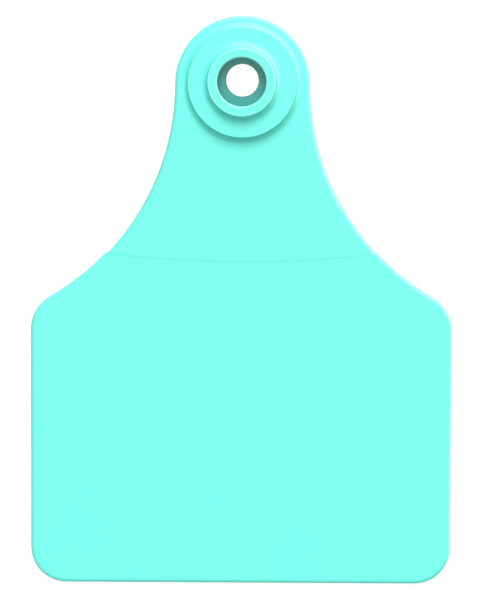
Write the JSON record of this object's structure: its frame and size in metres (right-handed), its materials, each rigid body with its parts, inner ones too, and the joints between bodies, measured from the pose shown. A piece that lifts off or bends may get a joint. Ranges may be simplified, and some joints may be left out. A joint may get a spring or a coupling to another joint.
{
  "type": "livestock ear tag",
  "caption": "Front half of a two-piece cattle ear tag: a flat writing panel on a neck, with a stepped boss and a locking ring that takes the stud of the back half.",
  "frame": {"origin": "on the axis of the stud hole, at the flat back face that lies against the ear", "axes": "+Z out of the front face along the stud hole, +Y towards the round end of the head, the panel along -Y, its width along X"},
  "size_m": [0.075, 0.1013, 0.0063],
  "materials": {
    "polyurethane": "satin",
    "hard_insert": "satin"
  },
  "bodies": {
    "root": {"tag_body": "polyurethane", "locking_ring": "hard_insert"}
  },
  "joints": []
}
